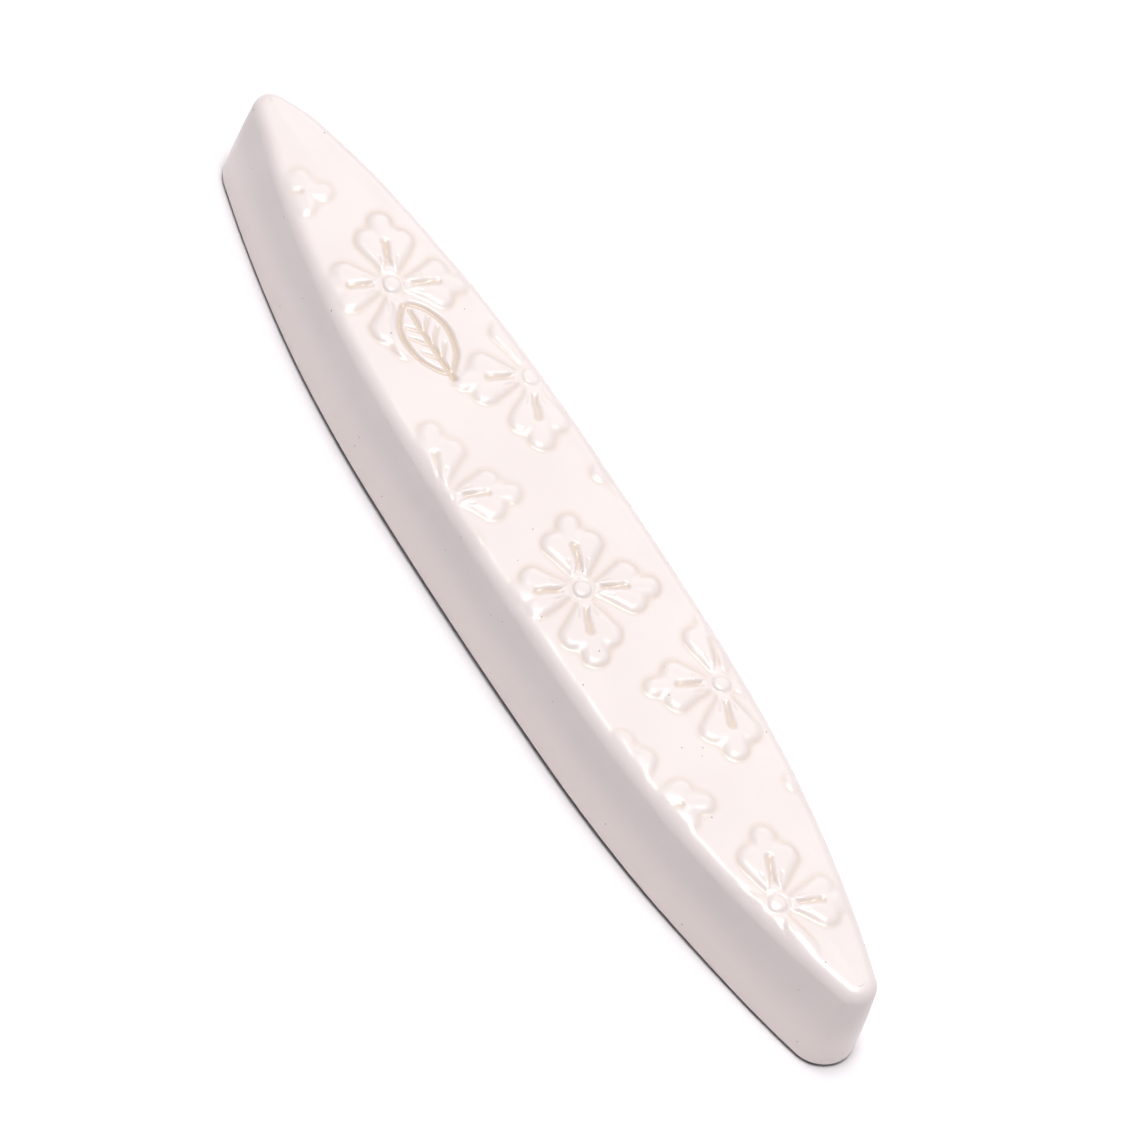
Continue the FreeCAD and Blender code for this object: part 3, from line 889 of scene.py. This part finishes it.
# Unglazed clay colours, darkened to paint the shade of the gap under the rim.
CLAY_GAP_SHADE_DARK = (0.10, 0.075, 0.066)
CLAY_GAP_SHADE_LIGHT = (0.18, 0.14, 0.12)
BOARD_DARK = (0.014, 0.014, 0.015)
BOARD_DUSTY = (0.055, 0.055, 0.056)
BOARD_CLOUDED = (0.024, 0.024, 0.026)
BOARD_RUBBED = (0.16, 0.16, 0.16)
FOAM_PORE = (0.60, 0.58, 0.52)
FOAM_WHITE = (0.86, 0.85, 0.80)
FILM_DULL = (0.84, 0.88, 0.90)
FILM_CLEAR = (0.95, 0.97, 0.98)
CLOUDS_PER_FIBRE = 0.08
FLECKS_PER_FIBRE = 0.5
FLECK_SHADE = 0.55
ROUGHNESS_SPREAD = 0.08


def new_material(name):
    """A material with nodes, its principled shader, and its nodes and links."""
    material = bpy.data.materials.new(name)
    material.use_nodes = True
    nodes = material.node_tree.nodes
    return material, nodes["Principled BSDF"], nodes, material.node_tree.links


def noise_node(nodes, links, scale, detail=3.0, roughness=0.5):
    """Noise in object space, in cycles per metre."""
    coordinates = nodes.new("ShaderNodeTexCoord")
    noise = nodes.new("ShaderNodeTexNoise")
    noise.inputs["Scale"].default_value = scale
    noise.inputs["Detail"].default_value = detail
    noise.inputs["Roughness"].default_value = roughness
    links.new(coordinates.outputs["Object"], noise.inputs["Vector"])
    return noise.outputs["Fac"]


def cell_node(nodes, links, scale):
    """Round cells in object space, in cells per metre: distance to each one's middle, and its colour."""
    coordinates = nodes.new("ShaderNodeTexCoord")
    cells = nodes.new("ShaderNodeTexVoronoi")
    cells.inputs["Scale"].default_value = scale
    links.new(coordinates.outputs["Object"], cells.inputs["Vector"])
    return cells.outputs["Distance"], cells.outputs["Color"]


def ramp(nodes, links, source, stops):
    """A colour ramp: stops are (position, colour)."""
    node = nodes.new("ShaderNodeValToRGB")
    while len(node.color_ramp.elements) < len(stops):
        node.color_ramp.elements.new(0.5)
    for element, (position, colour) in zip(node.color_ramp.elements, stops):
        element.position = position
        element.color = (*colour, 1.0)
    links.new(source, node.inputs["Fac"])
    return node.outputs["Color"]


def mix(nodes, links, factor, first, second):
    """Mixes two colours; the factor is a socket, and each colour a socket or a colour."""
    node = nodes.new("ShaderNodeMix")
    node.data_type = "RGBA"
    for socket, value in ((node.inputs[0], factor), (node.inputs[6], first), (node.inputs[7], second)):
        if isinstance(value, bpy.types.NodeSocket):
            links.new(value, socket)
        else:
            socket.default_value = (*value, 1.0)
    return node.outputs[2]


def bump(nodes, links, height, distance_mm, strength, below=None):
    """A bump node; another bump can lie below it."""
    node = nodes.new("ShaderNodeBump")
    node.inputs["Distance"].default_value = distance_mm * MM
    node.inputs["Strength"].default_value = strength
    links.new(height, node.inputs["Height"])
    if below is not None:
        links.new(below, node.inputs["Normal"])
    return node.outputs["Normal"]


def attribute_value(nodes, name):
    """A per-vertex number."""
    node = nodes.new("ShaderNodeAttribute")
    node.attribute_name = name
    return node.outputs["Fac"]


def multiply(nodes, links, first, second):
    """The product of two values."""
    node = nodes.new("ShaderNodeMath")
    node.operation = "MULTIPLY"
    links.new(first, node.inputs[0])
    links.new(second, node.inputs[1])
    return node.outputs["Value"]


def spread(nodes, links, source, low, high):
    """A value from 0 to 1 stretched to low and high."""
    node = nodes.new("ShaderNodeMapRange")
    node.inputs["To Min"].default_value = low
    node.inputs["To Max"].default_value = high
    links.new(source, node.inputs["Value"])
    return node.outputs["Result"]


def speck_mask(nodes, links, scale, low, high, share):
    """White dots, solid to low and gone at high, on a random share of the cells."""
    distance, colour = cell_node(nodes, links, scale)
    dots = ramp(nodes, links, distance, [(low, WHITE), (high, BLACK)])
    split = nodes.new("ShaderNodeSeparateColor")
    links.new(colour, split.inputs["Color"])
    chosen = ramp(nodes, links, split.outputs["Red"], [(1.0 - share, BLACK), (1.01 - share, WHITE)])
    return multiply(nodes, links, dots, chosen)


def glaze_material():
    """Warm white gloss glaze with faint clouding and small dark pinholes, over clay that is darkened
    to paint the shade of the gap under the rim.

    It pools cream in the grooves, is lightened towards the foot by painted floor bounce light, and stops
    above the rim.
    """
    material, shader, nodes, links = new_material("glazed_ceramic")
    cloud = noise_node(nodes, links, scale=60.0, detail=4.0)
    body = ramp(nodes, links, cloud, [(0.35, GLAZE_DULL), (0.65, GLAZE_BRIGHT)])
    # Painted floor bounce light: the body is mixed towards a lighter tone on the lower wall.
    floor_lit_body = mix(nodes, links, attribute_value(nodes, "painted_floor_light"), body, GLAZE_PAINTED_FLOOR_LIGHT)
    pooled = mix(nodes, links, attribute_value(nodes, "pool"), floor_lit_body, GLAZE_POOLED)
    specks = speck_mask(nodes, links, scale=400.0, low=0.03, high=0.06, share=0.4)
    speckled = mix(nodes, links, specks, pooled, PINHOLE_BROWN)
    # Unglazed clay, coloured dark to paint the shade of the gap under the rim.
    bare_and_gap_shade = attribute_value(nodes, "bare_and_gap_shade")
    clay_grain = noise_node(nodes, links, scale=1500.0)
    clay_and_gap_shade = ramp(nodes, links, clay_grain, [(0.3, CLAY_GAP_SHADE_DARK), (0.7, CLAY_GAP_SHADE_LIGHT)])
    links.new(mix(nodes, links, bare_and_gap_shade, speckled, clay_and_gap_shade), shader.inputs["Base Color"])
    links.new(spread(nodes, links, bare_and_gap_shade, low=0.31, high=0.8), shader.inputs["Roughness"])
    grain = multiply(nodes, links, clay_grain, bare_and_gap_shade)
    rough_clay = bump(nodes, links, grain, distance_mm=0.12, strength=0.8)
    fine = noise_node(nodes, links, scale=420.0, detail=2.0)
    ripple = bump(nodes, links, fine, distance_mm=0.05, strength=0.2, below=rough_clay)
    surface = bump(nodes, links, cloud, distance_mm=0.10, strength=0.4, below=ripple)
    links.new(surface, shader.inputs["Normal"])
    shader.inputs["IOR"].default_value = 1.45
    shader.inputs["Coat Weight"].default_value = 0.10
    shader.inputs["Coat Roughness"].default_value = 0.14
    return material


def board_material():
    """Dark grey moulded board: a fine leather-like grain, slight clouding and paler rubbed edges."""
    material, shader, nodes, links = new_material("backing_board")
    cloud = noise_node(nodes, links, scale=45.0, detail=4.0)
    fine = noise_node(nodes, links, scale=1300.0, detail=4.0, roughness=0.7)
    dusty = ramp(nodes, links, fine, [(0.35, BOARD_DARK), (0.75, BOARD_DUSTY)])
    body = mix(nodes, links, cloud, dusty, BOARD_CLOUDED)
    scuffs = noise_node(nodes, links, scale=700.0)
    rubbed = multiply(nodes, links, attribute_value(nodes, "edge"), scuffs)
    links.new(mix(nodes, links, rubbed, body, BOARD_RUBBED), shader.inputs["Base Color"])
    links.new(spread(nodes, links, cloud, low=0.48, high=0.66), shader.inputs["Roughness"])
    grain = noise_node(nodes, links, scale=1900.0, detail=2.0)
    links.new(bump(nodes, links, grain, distance_mm=0.10, strength=0.9), shader.inputs["Normal"])
    return material


def foam_material():
    """White closed-cell foam: small round pores and a faint yellow cast."""
    material, shader, nodes, links = new_material("foam_tape")
    distance, _ = cell_node(nodes, links, scale=4200.0)
    colour = ramp(nodes, links, distance, [(0.0, FOAM_PORE), (0.5, FOAM_WHITE)])
    links.new(colour, shader.inputs["Base Color"])
    links.new(bump(nodes, links, distance, distance_mm=0.08, strength=0.8), shader.inputs["Normal"])
    shader.inputs["Roughness"].default_value = 0.85
    return material


def paper_material(name, dark, light, roughness, fibre_scale, coat=0.0):
    """Paper or skin: cloudy colour, fine fibres in the surface and a few darker flecks."""
    material, shader, nodes, links = new_material(name)
    cloud = noise_node(nodes, links, fibre_scale * CLOUDS_PER_FIBRE, detail=5.0, roughness=0.6)
    fibres = noise_node(nodes, links, fibre_scale, detail=4.0, roughness=0.7)
    body = ramp(nodes, links, cloud, [(0.32, dark), (0.68, light)])
    flecks = speck_mask(nodes, links, fibre_scale * FLECKS_PER_FIBRE, low=0.08, high=0.2, share=0.25)
    faint = spread(nodes, links, flecks, low=0.0, high=0.35)
    fleck_colour = tuple(FLECK_SHADE * channel for channel in dark)
    links.new(mix(nodes, links, faint, body, fleck_colour), shader.inputs["Base Color"])
    uneven = spread(nodes, links, fibres, roughness - ROUGHNESS_SPREAD, roughness + ROUGHNESS_SPREAD)
    links.new(uneven, shader.inputs["Roughness"])
    links.new(bump(nodes, links, fibres, distance_mm=0.03, strength=0.6), shader.inputs["Normal"])
    shader.inputs["Coat Weight"].default_value = coat
    shader.inputs["Coat Roughness"].default_value = 0.25
    return material


def film_material():
    """Clear thin film with fine crinkles."""
    material, shader, nodes, links = new_material("clear_film")
    crinkle = noise_node(nodes, links, scale=260.0, roughness=0.6)
    tint = ramp(nodes, links, crinkle, [(0.3, FILM_DULL), (0.7, FILM_CLEAR)])
    links.new(tint, shader.inputs["Base Color"])
    links.new(spread(nodes, links, crinkle, low=0.06, high=0.18), shader.inputs["Roughness"])
    links.new(bump(nodes, links, crinkle, distance_mm=0.15, strength=0.7), shader.inputs["Normal"])
    shader.inputs["Alpha"].default_value = 0.22
    shader.inputs["IOR"].default_value = 1.45
    shader.inputs["Coat Weight"].default_value = 1.0
    shader.inputs["Coat Roughness"].default_value = 0.08
    return material


# ---------------------------------------------------------------- stage, lights, camera

CAMERA_AZIMUTH = -141.58
CAMERA_ELEVATION = 58.0
CAMERA_ROLL = 22.43
CAMERA_DISTANCE = 1321.5
CAMERA_TARGET = (5.41, 1.50, RIM_Z)
LENS = 282.7
SENSOR = 36.0
NEAR_CLIP_M = 0.05
FAR_CLIP_M = 20.0
FLOOR_HALF = 3000.0


def direction(azimuth, elevation):
    """Unit vector towards an azimuth from +X and an elevation, in degrees."""
    azimuth, elevation = math.radians(azimuth), math.radians(elevation)
    level = math.cos(elevation)
    return Vector((level * math.cos(azimuth), level * math.sin(azimuth), math.sin(elevation)))


def make_camera():
    """A long lens high over the lower left of the case, rolled so that the case lies on a diagonal."""
    back = direction(CAMERA_AZIMUTH, CAMERA_ELEVATION)
    camera = bpy.data.objects.new("camera", bpy.data.cameras.new("camera"))
    bpy.context.scene.collection.objects.link(camera)
    camera.location = (Vector(CAMERA_TARGET) + back * CAMERA_DISTANCE) * MM
    camera.rotation_mode = "QUATERNION"
    roll = Quaternion((0, 0, 1), math.radians(CAMERA_ROLL))
    camera.rotation_quaternion = back.to_track_quat("Z", "Y") @ roll
    camera.data.lens = LENS
    camera.data.sensor_width = SENSOR
    camera.data.clip_start = NEAR_CLIP_M
    camera.data.clip_end = FAR_CLIP_M
    bpy.context.scene.camera = camera


def make_floor():
    """A plain white sweep."""
    corners = [(x * FLOOR_HALF, y * FLOOR_HALF, 0.0) for x, y in ((-1, -1), (1, -1), (1, 1), (-1, 1))]
    floor = mesh_object("floor", corners, [(0, 1, 2, 3)])
    material, shader, _, _ = new_material("floor")
    shader.inputs["Base Color"].default_value = (0.90, 0.87, 0.89, 1)
    shader.inputs["Roughness"].default_value = 0.9
    shader.inputs["Specular IOR Level"].default_value = 0.1
    floor.data.materials.append(material)


def make_light(name, azimuth, elevation, distance, size, power):
    """A square white softbox that faces the case; distance and size are in metres, power in watts."""
    light = bpy.data.lights.new(name, "AREA")
    light.size = size
    light.energy = power
    lamp = bpy.data.objects.new(name, light)
    bpy.context.scene.collection.objects.link(lamp)
    away = direction(azimuth, elevation)
    lamp.location = away * distance
    lamp.rotation_mode = "QUATERNION"
    lamp.rotation_quaternion = away.to_track_quat("Z", "Y")


def make_lights():
    """A softbox nearly overhead, a dim wide one behind, a small one for glints, and a dim surround."""
    make_light("key", azimuth=225.0, elevation=89.5, distance=1.5, size=0.68, power=23.3)
    make_light("back", azimuth=40.0, elevation=36.0, distance=2.2, size=1.4, power=10.0)
    make_light("glint", azimuth=229.0, elevation=32.0, distance=1.2, size=0.22, power=0.3)
    world = bpy.data.worlds.new("surround")
    world.use_nodes = True
    background = world.node_tree.nodes["Background"]
    background.inputs["Color"].default_value = (1.0, 0.955, 1.0, 1)
    background.inputs["Strength"].default_value = 0.15
    bpy.context.scene.world = world
    bpy.context.scene.view_settings.view_transform = "Standard"


make_camera()
make_floor()
make_lights()
make_shell().data.materials.append(glaze_material())
make_back_plate().data.materials.append(board_material())
foam = foam_material()
waxed_paper = paper_material(
    "release_paper",
    dark=(0.60, 0.50, 0.35),
    light=(0.70, 0.60, 0.44),
    roughness=0.38,
    fibre_scale=2200.0,
    coat=0.5,
)
skin = paper_material(
    "parchment", dark=(0.70, 0.58, 0.38), light=(0.84, 0.75, 0.56), roughness=0.55, fibre_scale=1500.0
)
white_paper = paper_material(
    "paper_band", dark=(0.78, 0.76, 0.70), light=(0.86, 0.845, 0.79), roughness=0.7, fibre_scale=2600.0
)
for end, side in (("upper", 1.0), ("lower", -1.0)):
    make_pad(end, side).data.materials.append(foam)
    make_liner(end, side).data.materials.append(waxed_paper)
make_parchment().data.materials.append(skin)
make_film().data.materials.append(film_material())
make_band().data.materials.append(white_paper)
